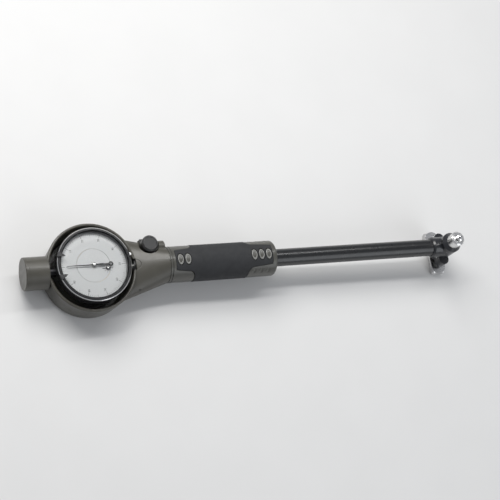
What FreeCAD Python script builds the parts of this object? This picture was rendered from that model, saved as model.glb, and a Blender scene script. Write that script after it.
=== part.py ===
"""Dial bore gauge: indicator in a protective cover, grip, tube and measuring head.

Frame: millimetres, +Z up along the dial's normal, +X from the dial towards the measuring head.
The origin is the centre of the cover's flat back. The gauge's axis runs along +X at axis_height.
In the outlines below, "along" is measured on the piece's own turning axis: x for the pieces on the
gauge's axis, and the height above the gauge's axis for the pieces that stand on it.
"""

import FreeCAD, Part
import math
import os
import re

import Sketcher
from FreeCAD import Placement, Rotation, Vector

doc = FreeCAD.newDocument("bore_gauge")
sheet = doc.addObject("Spreadsheet::Sheet", "Sizes")

# Name, value in millimetres (or degrees, or a count), and what it is.
SIZES = (
    ("axis_height", 18.0, "gauge axis above the cover's flat back"),
    # Cover
    ("cover_gap", 3.7, "open gap between the bezel and the cover's ring"),
    ("cover_wall", 2.4, "wall of the cover"),
    ("cover_corner", 4.0, "rounding between the cover's back and side"),
    ("cover_draft", 1.0, "how much wider the side is at the rim than at the back"),
    ("rim_height", 8.0, "cover's rim above the axis"),
    ("neck_length", 25.4, "from the cover's ring to the grip"),
    ("neck_root", 12.6, "how far the neck reaches into the ring"),
    ("neck_shoulder", 9.1, "how much narrower than the ring the neck starts"),
    ("neck_top", 5.3, "top of the neck at its start, above the axis"),
    ("neck_bottom", 14.0, "bottom of the neck at its start, below the axis"),
    ("neck_bore_radius", 9.0, "bore of the neck round the stem clamp"),
    ("cap_radius", 12.5, "outside of the cap tube"),
    ("cap_bore_radius", 10.2, "bore of the cap tube"),
    ("cap_length", 14.0, "cap tube past the cover's ring"),
    ("cap_lip", 2.6, "thickness of the cap plug's end"),
    ("lug_radius", 4.6, "rounded lug beside the clamp knob"),
    ("lug_length", 6.0, "lug, along the axis"),
    ("cover_screw_gap", 1.4, "cover screws past the ring, along the axis"),
    ("cover_screw_inset", 7.5, "cover screws inside the neck's half width"),
    ("cover_screw_radius", 1.25, "shank of a cover screw"),
    # Stem clamp
    ("clamp_gap", 4.5, "between the bezel and the stem clamp"),
    ("clamp_shoulder", 0.4, "between the clamp's body and the tube"),
    ("clamp_radius", 7.6, "outside of the stem clamp"),
    ("clamp_spigot", 8.0, "length of the clamp's spigot in the tube"),
    ("ear_length", 11.2, "clamp's ears, along the axis"),
    ("ear_reach", 21.0, "clamp's ears, from the axis"),
    ("ear_height", 3.2, "top of the upper ear above the axis"),
    ("clamp_slit", 1.2, "slit between the clamp's ears"),
    ("knob_setback", 12.8, "clamp knob's axis from the grip"),
    ("knob_y", 15.2, "clamp knob's axis from the gauge's axis"),
    ("knob_radius", 6.45, "clamp knob"),
    ("knob_thickness", 7.5, "clamp knob"),
    ("knob_gap", 0.3, "clamp knob above the upper ear"),
    ("knob_recess", 1.5, "round the knob, to the wall of its recess"),
    ("clamp_screw_radius", 1.9, "thread of the clamp screw"),
    # Grip and tube
    ("grip_length", 90.0, "grip, from the cover's neck to its end"),
    ("grip_radius", 14.1, "outside of the grip's collars and of the neck's end"),
    ("sleeve_radius", 14.3, "outside of the rubber sleeve"),
    ("core_radius", 11.0, "plastic core under the sleeve"),
    ("spigot_radius", 11.4, "core's spigot in the neck"),
    ("spigot_length", 6.8, "core's spigot in the neck"),
    ("front_collar", 4.5, "front collar, along the axis"),
    ("rear_collar", 4.2, "rear collar, along the axis"),
    ("seam", 0.5, "depth and width of the fine grooves round the grip"),
    ("tongue_height", 11.6, "half height of the side tongues at the collars"),
    ("tongue_taper", 1.0, "how much lower a tongue is at its tip"),
    ("front_tongue", 15.5, "front tongue past its collar"),
    ("rear_tongue", 20.0, "rear tongue past its collar"),
    ("tongue_corner", 4.5, "rounding of a tongue's tip"),
    ("pad_length", 4.3, "half length of an oval pad, across the grip"),
    ("pad_width", 2.4, "half width of an oval pad, along the grip"),
    ("pad_gap", 0.45, "between a pad or tongue and its window in the sleeve"),
    ("pad_pitch", 6.1, "from one oval pad to the next"),
    ("front_pad", 8.5, "first front pad from the grip's start"),
    ("rear_pad", 7.6, "last rear pad from the grip's end"),
    ("tube_radius", 7.0, "outside of the long tube"),
    ("tube_wall", 1.5, "wall of the long tube"),
    ("tube_reach", 153.5, "bare tube from the grip's end into the head"),
    ("rod_radius", 1.75, "transfer rod"),
    ("rod_head_radius", 2.6, "disc at the rod's upper end"),
    ("rod_collar_radius", 3.4, "rod's spring collar"),
    ("rod_collar_at", 52.0, "rod's spring collar from the grip's start"),
    ("upper_bush_at", 4.0, "upper rod bush from the grip's start"),
    ("bush_length", 10.0, "rod bush"),
    ("lower_bush_back", 16.0, "lower rod bush's end, back from the tube's end"),
    ("spring_turns", 8.0, "turns of the return spring"),
    ("spring_wire", 0.8, "wire of the return spring"),
    ("spring_radius", 2.9, "return spring, to the wire's centre"),
    # Measuring head, from the gauge's axis and the measuring axis
    ("head_offset", 9.0, "measuring axis past the tube's end"),
    ("head_radius", 8.5, "head's barrel and socket"),
    ("head_bottom", 14.0, "head's underside below the gauge axis"),
    ("head_top", 14.5, "head's shoulder above the gauge axis"),
    ("socket_length", 15.0, "tube socket, from the measuring axis"),
    ("arm", 6.0, "arm of the bell crank"),
    ("ball_radius", 1.5, "round ends of the bell crank"),
    ("crank_hub_radius", 2.2, "bell crank round its pin"),
    ("crank_thickness", 2.8, "bell crank"),
    ("crank_arm_width", 2.0, "bell crank's arms"),
    ("crank_pin_radius", 1.0, "bell crank's pin"),
    ("slot_width", 3.4, "head's slot round the bell crank"),
    ("plunger_radius", 2.5, "contact plunger"),
    ("plunger_head_radius", 3.2, "plunger's retaining flange"),
    ("plunger_head", 1.25, "thickness of the plunger's flange"),
    ("plunger_end", 20.9, "lower end of the plunger below the gauge axis"),
    ("tip_radius", 1.9, "foot of a carbide tip"),
    ("tip_height", 1.3, "carbide tip"),
    ("bush_top", 10.5, "plunger bush's top below the gauge axis"),
    ("bush_radius", 4.5, "plunger bush in the head"),
    ("bush_flange_radius", 5.6, "plunger bush's flange"),
    ("bush_flange", 1.2, "plunger bush's flange"),
    ("anvil_radius", 3.0, "anvil's shank"),
    ("anvil_foot", 4.2, "anvil's lower end above the gauge axis"),
    ("anvil_spigot_radius", 4.7, "threaded spigot round the anvil"),
    ("anvil_spigot", 5.0, "threaded spigot above the head's shoulder"),
    ("washer_thickness", 0.8, "anvil washer"),
    ("anvil_shoulder", 1.2, "anvil's shoulder"),
    ("anvil_shoulder_radius", 4.4, "anvil's shoulder"),
    ("anvil_neck_radius", 2.5, "anvil above its shoulder"),
    ("anvil_neck", 4.9, "anvil above its shoulder"),
    ("nut_radius", 6.0, "anvil lock nut"),
    ("nut_chamfer", 1.0, "anvil lock nut's upper edge"),
    ("nut_roof", 1.5, "anvil lock nut's end wall"),
    ("guide_travel", 2.5, "centring guide's travel"),
    ("guide_thickness", 2.6, "centring guide's plate"),
    ("guide_half_length", 18.5, "centring guide, across the gauge"),
    ("guide_half_width", 6.5, "centring guide, along the gauge"),
    ("guide_hole_radius", 6.2, "centring guide's hole round the plunger bush"),
    ("shoe_radius", 3.3, "rounded shoes of the centring guide"),
    ("shoe_reach", 23.5, "lowest point of the shoes below the gauge axis"),
    ("guide_screw_y", 9.2, "guide screws from the gauge axis"),
    ("guide_screw_radius", 1.5, "guide screw's shoulder"),
    ("guide_screw_head_radius", 2.4, "guide screw's head"),
    ("guide_screw_head", 1.8, "guide screw's head"),
    ("wing_radius", 4.5, "head's wings round the guide screws"),
    ("wing_height", 8.0, "head's wings"),
    ("guide_spring_turns", 5.0, "turns of a guide spring"),
    ("guide_spring_wire", 0.45, "wire of a guide spring"),
    ("guide_spring_radius", 2.2, "guide spring, to the wire's centre"),
    ("guide_spring_pocket_top", -8.0, "top of the spring pockets in the wings"),
    # Indicator
    ("case_radius", 27.0, "indicator's case"),
    ("case_wall", 2.4, "indicator's case"),
    ("case_back", 9.0, "case's back edge below the axis"),
    ("case_top", 7.0, "case's shoulder above the axis"),
    ("lid_thickness", 2.2, "indicator's lid"),
    ("lid_screw_radius", 0.7, "lid screw's shank"),
    ("bezel_overhang", 1.5, "bezel past the case"),
    ("crystal_proud", 0.45, "crystal above the bezel's rim"),
    ("bezel_chamfer", 1.2, "bezel's upper edge"),
    ("seat_step", 1.0, "case's seat for the bezel, inside the case"),
    ("seat_height", 3.6, "case's seat for the bezel"),
    ("bezel_wall", 3.08, "bezel outside the scale ring"),
    ("face_gap", 1.4, "dial's face above the case's seat"),
    ("face_thickness", 0.5, "dial"),
    ("centre_radius", 12.9, "fixed centre of the dial"),
    ("dial_foot_y", 10.32, "feet of the dial's centre, from the axis"),
    ("bezel_lip", 2.28, "bezel outside the crystal"),
    ("crystal_gap", 0.45, "between the pointer's hub and the crystal"),
    ("crystal_thickness", 2.0, "crystal"),
    ("crystal_bevel", 1.0, "crystal's upper edge"),
    ("stem_radius", 4.0, "indicator's stem"),
    ("stem_length", 20.5, "stem outside the case"),
    ("dust_cap_radius", 3.3, "spindle's dust cap"),
    ("dust_cap_length", 16.6, "dust cap outside the case"),
    ("spindle_radius", 2.0, "indicator's spindle"),
    ("spindle_nose", 3.5, "spindle past the stem's end"),
    ("spindle_tail", 11.0, "spindle past the case, in the dust cap"),
    ("contact_radius", 2.3, "indicator's contact point"),
    ("contact_length", 7.0, "indicator's contact point"),
    ("plate_thickness", 0.8, "movement plates"),
    ("lower_plate", 2.6, "lower plate's underside above the axis"),
    ("upper_plate", 7.0, "upper plate's underside above the axis"),
    ("plate_inset", 2.6, "upper movement plate from the case's wall"),
    ("wheel_module", 0.2, "teeth of the wheels"),
    ("wheel_teeth", 100.0, "rack wheel and hairspring wheel"),
    ("centre_teeth", 10.0, "centre pinion"),
    ("rack_teeth", 16.0, "rack pinion"),
    ("rack_pitch", 0.625, "rack"),
    ("rack_half_count", 9.0, "teeth of the rack on each side of the pinion"),
    ("arbor_radius", 0.5, "arbors of the movement"),
    ("rack_arbor_y", 2.8, "rack pinion's arbor from the spindle's axis"),
    ("wheel_thickness", 0.5, "wheels"),
    ("pointer_length", 21.0, "pointer, from its hub"),
    ("pointer_tail", 7.0, "pointer's tail"),
    ("pointer_width", 0.9, "pointer at its root"),
    ("hand_gap", 0.25, "between the dial, the counter hand and the pointer"),
    ("marker_angle", 18.0, "limit marker from 12 o'clock, in degrees"),
    ("bezel_clamp_angle", 14.0, "bezel clamp from the stem, in degrees"),
    # Clearances
    ("fit", 0.02, "between pieces that are pressed or clamped together"),
    ("running", 0.04, "radial clearance of what slides or turns"),
    ("contact_gap", 0.05, "between the pieces of the measuring train at rest"),
)

# Sizes and places that follow from the ones above.
DERIVED = (
    ("bezel_radius", "=case_radius + bezel_overhang", "bezel"),
    ("bezel_seat", "=case_radius - seat_step", "case's seat for the bezel"),
    ("face_height", "=case_top + seat_height + face_gap", "dial's face above the axis"),
    ("crystal_height", "=face_height + 4 * seam + 2 * hand_gap + crystal_gap", "crystal's underside"),
    ("bezel_top", "=crystal_height + crystal_thickness - crystal_proud", "bezel's rim above the axis"),
    ("face_radius", "=bezel_radius - bezel_wall - fit", "scale ring"),
    ("crystal_radius", "=bezel_radius - bezel_lip - fit", "crystal"),
    ("upper_plate_radius", "=case_radius - case_wall - plate_inset", "upper movement plate"),
    ("cover_radius", "=bezel_radius + cover_gap + cover_wall", "outside of the cover's ring at its rim"),
    ("neck_start", "=cover_radius - neck_root", "where the neck leaves the ring"),
    ("neck_half_width", "=cover_radius - neck_shoulder", "half width of the neck at its start"),
    ("neck_end", "=cover_radius + neck_length", "where the neck meets the grip"),
    ("cover_screw_x", "=cover_radius + cover_screw_gap", "cover screws, from the dial's centre"),
    ("cover_screw_y", "=neck_half_width - cover_screw_inset", "cover screws, from the axis"),
    ("knob_x", "=neck_end - knob_setback", "clamp knob's axis from the dial's centre"),
    ("ear_start", "=knob_x - ear_length / 2", "dial end of the clamp's ears"),
    ("clamp_start", "=bezel_radius + clamp_gap", "dial end of the stem clamp"),
    ("clamp_end", "=neck_end - spigot_length - clamp_shoulder", "tube end of the stem clamp's body"),
    ("upper_bush_x", "=neck_end + upper_bush_at", "upper rod bush from the dial's centre"),
    ("rod_collar_x", "=neck_end + rod_collar_at", "spring collar from the dial's centre"),
    ("guide_top", "=head_bottom + guide_travel + 2 * contact_gap", "top of the guide's plate, below the axis"),
    ("stem_end", "=case_radius + stem_length", "stem's end from the dial's centre"),
    ("dust_cap_end", "=case_radius + dust_cap_length", "dust cap's end from the dial's centre"),
    ("spindle_end", "=stem_end + spindle_nose", "spindle's lower end from the dial's centre"),
    ("spindle_back", "=case_radius + spindle_tail", "spindle's upper end from the dial's centre"),
)

for row, (name, value, note) in enumerate(SIZES + DERIVED, start=1):
    sheet.set(f"A{row}", name)
    sheet.set(f"B{row}", str(value))
    sheet.set(f"C{row}", note)
    sheet.setAlias(f"B{row}", name)
doc.recompute()

ALIASES = {name for name, value, note in SIZES + DERIVED}
EXPORTS = []


def ref(text):
    """Turn a formula of plain size names into a FreeCAD expression on the sheet."""
    return re.sub(r"[a-z_]+", lambda m: "Sizes." + m[0] if m[0] in ALIASES else m[0], str(text))


def size(text):
    """Value of a formula of plain size names."""
    sheet.set("E1", "=" + re.sub(r"Sizes\.", "", ref(text)))
    sheet.recompute()
    return float(sheet.get("E1"))


def keep(shape_object, node=None):
    """List an object as a piece of the gauge, under its node name."""
    shape_object.Label = node or shape_object.Label
    EXPORTS.append(shape_object)
    return shape_object


# --- Sketches, turned pieces, prisms and booleans -------------------------------------------------

# "X aside" is X with the seam of the round faces kept clear of the grip's pads and tongues.
DIRECTIONS = {
    "X": Rotation(Vector(0, 1, 0), 90),
    "X aside": Rotation(Vector(0, 1, 0), 90) * Rotation(Vector(0, 0, 1), 27),
    "-X": Rotation(Vector(0, 1, 0), -90),
    "Y": Rotation(Vector(1, 0, 0), -90),
    "Z": Rotation(),
    "-Z": Rotation(Vector(1, 0, 0), 180),
}
ON_AXIS = ("0", "0", "axis_height")


def place(shape_object, at=ON_AXIS, along="Z"):
    """Put an object at three formulas, with its own Z along the named direction."""
    shape_object.Placement = Placement(Vector(*(size(part) for part in at)), DIRECTIONS[along])
    for letter, part in zip("xyz", at):
        shape_object.setExpression(f"Placement.Base.{letter}", ref(part))
    return shape_object


def pin_point(sketch, geometry, end, point):
    """Hold one end of a line or arc at a pair of formulas."""
    for kind, part in zip(("DistanceX", "DistanceY"), point):
        index = sketch.addConstraint(Sketcher.Constraint(kind, -1, 1, geometry, end, size(part)))
        sketch.setExpression(f"Constraints[{index}]", ref(part))


def arc_between(start, stop, radius, turn):
    """Arc of the given radius from start to stop; turn is 1 anticlockwise and -1 clockwise."""
    chord = stop - start
    rise = math.sqrt(max(radius**2 - chord.Length**2 / 4, 0.0))
    across = Vector(-chord.y, chord.x, 0).normalize()
    centre = (start + stop) * 0.5 + across * rise * turn
    first, last = (start, stop) if turn > 0 else (stop, start)
    angles = [math.atan2(end.y - centre.y, end.x - centre.x) for end in (first, last)]
    if angles[1] <= angles[0]:
        angles[1] += 2 * math.pi
    return Part.ArcOfCircle(Part.Circle(centre, Vector(0, 0, 1), radius), *angles)


def draw(sketch, outline):
    """Closed outline of (x, y) corners. (x, y, radius, turn) reaches its corner by an arc."""
    corners = [Vector(size(item[0]), size(item[1]), 0) for item in outline]
    starts = []
    for index, item in enumerate(outline):
        start, stop = corners[index - 1], corners[index]
        if len(item) == 2:
            geometry = sketch.addGeometry(Part.LineSegment(start, stop))
            starts.append((geometry, 1, 2))
            continue
        turn = item[3]
        geometry = sketch.addGeometry(arc_between(start, stop, size(item[2]), turn))
        starts.append((geometry, 1, 2) if turn > 0 else (geometry, 2, 1))
        radius = sketch.addConstraint(Sketcher.Constraint("Radius", geometry, size(item[2])))
        sketch.setExpression(f"Constraints[{radius}]", ref(item[2]))
    for index, (geometry, first, last) in enumerate(starts):
        following = starts[(index + 1) % len(starts)]
        sketch.addConstraint(Sketcher.Constraint("Coincident", geometry, last, following[0], following[1]))
        pin_point(sketch, geometry, last, outline[index][:2])


def new_sketch(body, role):
    """Sketch on one of the body's own origin planes."""
    sketch = body.newObject("Sketcher::SketchObject", body.Label + "_outline")
    plane = next(item for item in body.Origin.OriginFeatures if item.Role == role)
    sketch.AttachmentSupport = [(plane, "")]
    sketch.MapMode = "FlatFace"
    return sketch


def turned(label, outline, at=ON_AXIS, along="Z"):
    """Body turned from an outline of (radius, along) corners."""
    body = doc.addObject("PartDesign::Body", label)
    sketch = new_sketch(body, "XZ_Plane")
    draw(sketch, outline)
    turn = body.newObject("PartDesign::Revolution", label + "_turn")
    turn.Profile = sketch
    turn.ReferenceAxis = (sketch, ["V_Axis"])
    turn.Angle = 360
    return place(body, at, along)


def prism(label, outline, role, thickness, at=ON_AXIS):
    """Body made by padding an outline to both sides of an origin plane."""
    body = doc.addObject("PartDesign::Body", label)
    sketch = new_sketch(body, role)
    draw(sketch, outline)
    pad = body.newObject("PartDesign::Pad", label + "_pad")
    pad.Profile = sketch
    pad.SideType = "Symmetric"
    pad.setExpression("Length", ref(thickness))
    return place(body, at)


def rod(label, radius, start, stop, at=("0", "0"), along="Z"):
    """Plain cylinder between two formulas along its axis. at holds the other two coordinates."""
    cylinder = doc.addObject("Part::Cylinder", label)
    cylinder.setExpression("Radius", ref(radius))
    cylinder.setExpression("Height", ref(f"({stop}) - ({start})"))
    where = {
        "X": (start, at[0], f"axis_height + {at[1]}"),
        "Y": (at[0], start, f"axis_height + {at[1]}"),
        "Z": (at[0], at[1], f"axis_height + {start}"),
    }[along]
    return place(cylinder, where, along)


def block(label, low, high):
    """Box between two corners, heights from the gauge's axis."""
    box = doc.addObject("Part::Box", label)
    for letter, near, far in zip(("Length", "Width", "Height"), low, high):
        box.setExpression(letter, ref(f"({far}) - ({near})"))
    return place(box, (low[0], low[1], f"axis_height + {low[2]}"))


def join(label, *pieces):
    fusion = doc.addObject("Part::MultiFuse", label)
    fusion.Shapes = list(pieces)
    fusion.Refine = True
    return fusion


def cut(label, base, *tools):
    result = doc.addObject("Part::Cut", label)
    result.Base = base
    result.Tool = tools[0] if len(tools) == 1 else join(label + "_tools", *tools)
    result.Refine = True
    return result


def common(label, first, second):
    result = doc.addObject("Part::MultiCommon", label)
    result.Shapes = [first, second]
    result.Refine = True
    return result


def group(label, *pieces):
    """Separate solids in one node."""
    compound = doc.addObject("Part::Compound", label)
    compound.Links = list(pieces)
    return compound


def computed(label, shape, at=ON_AXIS, along="Z"):
    """Feature for a form that the workbenches have no tool for: teeth and coils."""
    feature = doc.addObject("Part::Feature", label)
    feature.Shape = shape
    return place(feature, at, along)


# --- Cover ---------------------------------------------------------------------------------------

BIG = "4 * cover_radius"
SIDE_RADIUS = "(cover_radius - cover_draft)"
CAP_START = "(0 - cover_radius + cover_wall / 2)"
CAP_END = "(0 - cover_radius - cap_length)"


def cover_outside():
    rim = "cover_wall / 2"
    bowl = turned("cover_bowl", [
        ("0", "0 - axis_height"),
        (f"{SIDE_RADIUS} - cover_corner", "0 - axis_height"),
        (SIDE_RADIUS, "cover_corner - axis_height", "cover_corner", 1),
        ("cover_radius", f"rim_height - {rim}"),
        (f"cover_radius - {rim}", "rim_height", rim, 1),
        ("0", "rim_height"),
    ])
    start = doc.addObject("Part::Ellipse", "neck_start_section")
    start.setExpression("MajorRadius", ref("neck_half_width"))
    start.setExpression("MinorRadius", ref("(neck_top + neck_bottom) / 2"))
    place(start, ("neck_start", "0", "axis_height + (neck_top - neck_bottom) / 2"), "X")
    start.Placement.Rotation = Rotation(Vector(0, 1, 0), Vector(0, 0, 1), Vector(1, 0, 0), "ZXY")
    end = doc.addObject("Part::Circle", "neck_end_section")
    end.setExpression("Radius", ref("grip_radius"))
    place(end, ("neck_end", "0", "axis_height"), "X")
    end.Placement.Rotation = start.Placement.Rotation
    neck = doc.addObject("Part::Loft", "neck")
    neck.Sections = [start, end]
    neck.Solid = True
    neck.Ruled = True
    cap = rod("cap_tube", "cap_radius", CAP_END, CAP_START, along="X")
    lug = turned("clamp_lug", [
        ("0", "neck_end - lug_length"),
        ("lug_radius - seam", "neck_end - lug_length"),
        ("lug_radius", "neck_end - lug_length + seam"),
        ("lug_radius", "neck_end - seam"),
        ("lug_radius - seam", "neck_end"),
        ("0", "neck_end"),
    ], ("0", "grip_radius", "axis_height + ear_height"), "X")
    return join("cover_outside", bowl, neck, cap, lug)


def cover_hollow():
    rim = "cover_wall / 2"
    floor = "cover_wall - axis_height"
    hollow = turned("bowl_hollow", [
        ("0", floor),
        (f"{SIDE_RADIUS} - cover_wall - cover_corner / 2", floor),
        (f"{SIDE_RADIUS} - cover_wall", f"{floor} + cover_corner / 2", "cover_corner / 2", 1),
        ("cover_radius - cover_wall", f"rim_height - {rim}"),
        (f"cover_radius - {rim}", "rim_height", rim, -1),
        (f"cover_radius - {rim}", "2 * grip_radius"),
        ("0", "2 * grip_radius"),
    ])
    neck = rod("neck_bore", "neck_bore_radius", "case_radius", "neck_end", along="X")
    spigot = rod("spigot_bore", "spigot_radius + fit", "neck_end - spigot_length - 2 * seam",
                 "neck_end + seam", along="X")
    cap = rod("cap_bore", "cap_bore_radius", f"{CAP_END} - seam", f"0 - {SIDE_RADIUS} + cover_wall", along="X")
    recess = rod("knob_recess_bore", "knob_radius + knob_recess", "ear_height - seam", "2 * grip_radius",
                 ("knob_x", "knob_y"))
    ears = block("ear_pocket", ("ear_start - seam", "0", "0 - ear_height - seam"),
                 ("ear_start + ear_length + seam / 2", "2 * ear_reach", "ear_height + seam"))
    return [hollow, neck, spigot, cap, recess, ears]


def cover_screw_pair(label, radius, start, stop):
    return [
        rod(f"{label}_{side}", radius, start, stop, ("cover_screw_x", f"{sign} cover_screw_y"))
        for side, sign in (("left", "0 +"), ("right", "0 -"))
    ]


def make_cover():
    head_top = "0 - neck_bottom / 2"
    shanks = cover_screw_pair("screw_bore", "cover_screw_radius + fit", head_top, "neck_top / 2")
    heads = cover_screw_pair("screw_sink", "2 * cover_screw_radius", "0 - axis_height - seam", head_top)
    cover = cut("cover", cover_outside(), *cover_hollow(), *shanks, *heads)
    half = ("0 - 2 * cover_radius", f"0 - {BIG}")
    upper = block("upper_half", (*half, "0"), ("2 * cover_radius", BIG, BIG))
    lower = block("lower_half", (*half, f"0 - {BIG}"), ("2 * cover_radius", BIG, "0"))
    keep(common("cover_front", cover, upper))
    keep(common("cover_back", cover, lower))

    screws = []
    for side, sign in (("left", "0 +"), ("right", "0 -")):
        screws.append(turned(f"cover_screw_{side}", [
            ("0", f"{head_top} - cover_screw_radius"),
            ("2 * cover_screw_radius - fit", f"{head_top} - cover_screw_radius"),
            ("2 * cover_screw_radius - fit", head_top),
            ("cover_screw_radius", head_top),
            ("cover_screw_radius", "neck_top / 2 - seam"),
            ("0", "neck_top / 2 - seam"),
        ], ("cover_screw_x", f"{sign} cover_screw_y", "axis_height")))
    keep(group("cover_screws", *screws))

    keep(turned("cap_plug", [
        ("0", f"{CAP_END} - cap_lip"),
        ("cap_radius - seam", f"{CAP_END} - cap_lip"),
        ("cap_radius + fit", f"{CAP_END} - cap_lip + seam"),
        ("cap_radius + fit", CAP_END),
        ("cap_bore_radius - fit", CAP_END),
        ("cap_bore_radius - fit", f"{CAP_END} + 2 * cap_lip"),
        ("cap_bore_radius - 3 * seam", f"{CAP_END} + 2 * cap_lip"),
        ("cap_bore_radius - 3 * seam", f"{CAP_END}"),
        ("0", CAP_END),
    ], along="X"))


# --- Stem clamp ----------------------------------------------------------------------------------

def make_clamp():
    bore = "stem_radius + fit"
    through = "contact_radius + 20 * running"
    sleeve = turned("clamp_sleeve", [
        (bore, "clamp_start"),
        ("clamp_radius", "clamp_start"),
        ("clamp_radius", "clamp_end"),
        ("tube_radius - tube_wall - fit", "clamp_end"),
        ("tube_radius - tube_wall - fit", "clamp_end + clamp_spigot"),
        (through, "clamp_end + clamp_spigot"),
        (through, "stem_end + 2 * seam"),
        (bore, "stem_end + 2 * seam"),
    ], along="X")
    ears = block("clamp_ears", ("ear_start", "stem_radius + seam", "0 - ear_height"),
                 ("ear_start + ear_length", "ear_reach", "ear_height"))
    slit = block("clamp_slit_gap", ("clamp_start - seam", "0", "0 - clamp_slit / 2"),
                 ("clamp_end - seam", "2 * ear_reach", "clamp_slit / 2"))
    hole = rod("clamp_hole", "clamp_screw_radius + running", "0 - ear_height - seam", "ear_height + seam",
               ("knob_x", "knob_y"))
    keep(cut("stem_clamp", join("clamp_blank", sleeve, ears), slit, hole))

    foot = "ear_height + knob_gap"
    keep(turned("clamp_knob", [
        ("clamp_screw_radius + fit", foot),
        ("knob_radius - seam", foot),
        ("knob_radius", f"{foot} + seam"),
        ("knob_radius", f"{foot} + knob_thickness - 2 * seam"),
        ("knob_radius - 2 * seam", f"{foot} + knob_thickness"),
        ("0", f"{foot} + knob_thickness"),
        ("0", f"{foot} + knob_thickness - 4 * seam"),
        ("clamp_screw_radius + fit", f"{foot} + knob_thickness - 4 * seam"),
    ], ("knob_x", "knob_y", "axis_height")))
    keep(rod("clamp_screw", "clamp_screw_radius", "0 - ear_height", f"{foot} + knob_thickness - 4 * seam",
             ("knob_x", "knob_y")))


# --- Grip and tube -------------------------------------------------------------------------------

GRIP_END = "(neck_end + grip_length)"
SLEEVE_START = "(neck_end + front_collar)"
SLEEVE_END = f"({GRIP_END} - rear_collar)"


def tongues(label, extra):
    """Prisms for the side tongues, on the left and right of the grip, grown by extra on every side."""
    made = []
    ends = (
        ("front", f"{SLEEVE_START} - seam", f"{SLEEVE_START} + front_tongue + {extra}", 1),
        ("rear", f"{SLEEVE_END} + seam", f"{SLEEVE_END} - rear_tongue - {extra}", -1),
    )
    high = f"(tongue_height + {extra})"
    low = f"(tongue_height + {extra} - tongue_taper)"
    corner = "tongue_corner"
    for name, root, tip, way in ends:
        inner = f"{tip} - {corner}" if way > 0 else f"{tip} + {corner}"
        outline = [
            (root, f"0 - {high}"),
            (inner, f"0 - {low}"),
            (tip, f"{corner} - {low}", corner, way),
            (tip, f"{low} - {corner}"),
            (inner, low, corner, way),
            (root, high),
        ]
        for side, sign in (("left", "0 +"), ("right", "0 -")):
            at = ("0", f"{sign} (core_radius + grip_radius) / 2", "axis_height")
            made.append(prism(f"{name}_{side}_{label}", outline, "XZ_Plane", "grip_radius", at))
    return made


def pads(label, extra):
    """Oval prisms through both sides of the grip where the pads are."""
    places = [f"neck_end + front_pad + {step} * pad_pitch" for step in range(2)]
    places += [f"{GRIP_END} - rear_pad - {step} * pad_pitch" for step in range(3)]
    made = []
    for index, where in enumerate(places):
        oval = doc.addObject("Part::Ellipse", f"{label}_oval_{index}")
        oval.setExpression("MajorRadius", ref(f"pad_length + {extra}"))
        oval.setExpression("MinorRadius", ref(f"pad_width + {extra}"))
        place(oval, (where, "0", "axis_height - 2 * grip_radius"))
        oval.Placement.Rotation = Rotation(Vector(0, 0, 1), 90)
        pad = doc.addObject("Part::Extrusion", f"{label}_{index}")
        pad.Base = oval
        pad.DirMode = "Custom"
        pad.Dir = Vector(0, 0, 1)
        pad.setExpression("LengthFwd", ref("4 * grip_radius"))
        pad.Solid = True
        made.append(pad)
    return made


def make_grip():
    bore = "tube_radius + fit"
    spigot_start = "neck_end - spigot_length"
    core = turned("core_blank", [
        (bore, spigot_start),
        ("spigot_radius", spigot_start),
        ("spigot_radius", "neck_end + fit"),
        ("grip_radius - seam", "neck_end + fit"),
        ("grip_radius - seam", "neck_end + seam"),
        ("grip_radius", "neck_end + seam"),
        ("grip_radius", "neck_end + 4 * seam"),
        ("grip_radius - seam", "neck_end + 4 * seam"),
        ("grip_radius - seam", "neck_end + 5 * seam"),
        ("grip_radius", "neck_end + 5 * seam"),
        ("grip_radius", f"{GRIP_END} - 4 * seam"),
        ("grip_radius - 4 * seam", GRIP_END, "4 * seam", 1),
        (bore, GRIP_END),
    ], along="X aside")
    ring = turned("sleeve_space", [
        ("core_radius", SLEEVE_START),
        ("2 * grip_radius", SLEEVE_START),
        ("2 * grip_radius", SLEEVE_END),
        ("core_radius", SLEEVE_END),
    ], along="X aside")
    keep(cut("grip_core", core, cut("round_the_pads", ring, *tongues("tongue", "0"), *pads("pad", "0"))))

    sleeve = turned("sleeve_tube", [
        ("core_radius + fit", f"{SLEEVE_START} + fit"),
        ("sleeve_radius - seam", f"{SLEEVE_START} + fit"),
        ("sleeve_radius", f"{SLEEVE_START} + fit + seam"),
        ("sleeve_radius", f"{SLEEVE_END} - fit - seam"),
        ("sleeve_radius - seam", f"{SLEEVE_END} - fit"),
        ("core_radius + fit", f"{SLEEVE_END} - fit"),
    ], along="X aside")
    windows = tongues("tongue_window", "pad_gap") + pads("pad_window", "pad_gap")
    keep(cut("grip_sleeve", sleeve, *windows))


TUBE_START = "(neck_end - spigot_length)"
TUBE_END = f"({GRIP_END} + tube_reach)"
HEAD_X = f"({TUBE_END} + head_offset)"


def square_coil(radius, wire, length, turns):
    """Coil of square wire with its axis along Z. Its wire's centre starts at 0."""
    pitch = (length - wire) / turns
    spine = Part.makeHelix(pitch, length - wire, radius)
    half = wire / 2
    corners = [Vector(radius + x, 0, z) for x, z in
               ((-half, -half), (half, -half), (half, half), (-half, half), (-half, -half))]
    return Part.Wire(spine.Edges).makePipeShell([Part.makePolygon(corners)], True, True)


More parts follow.
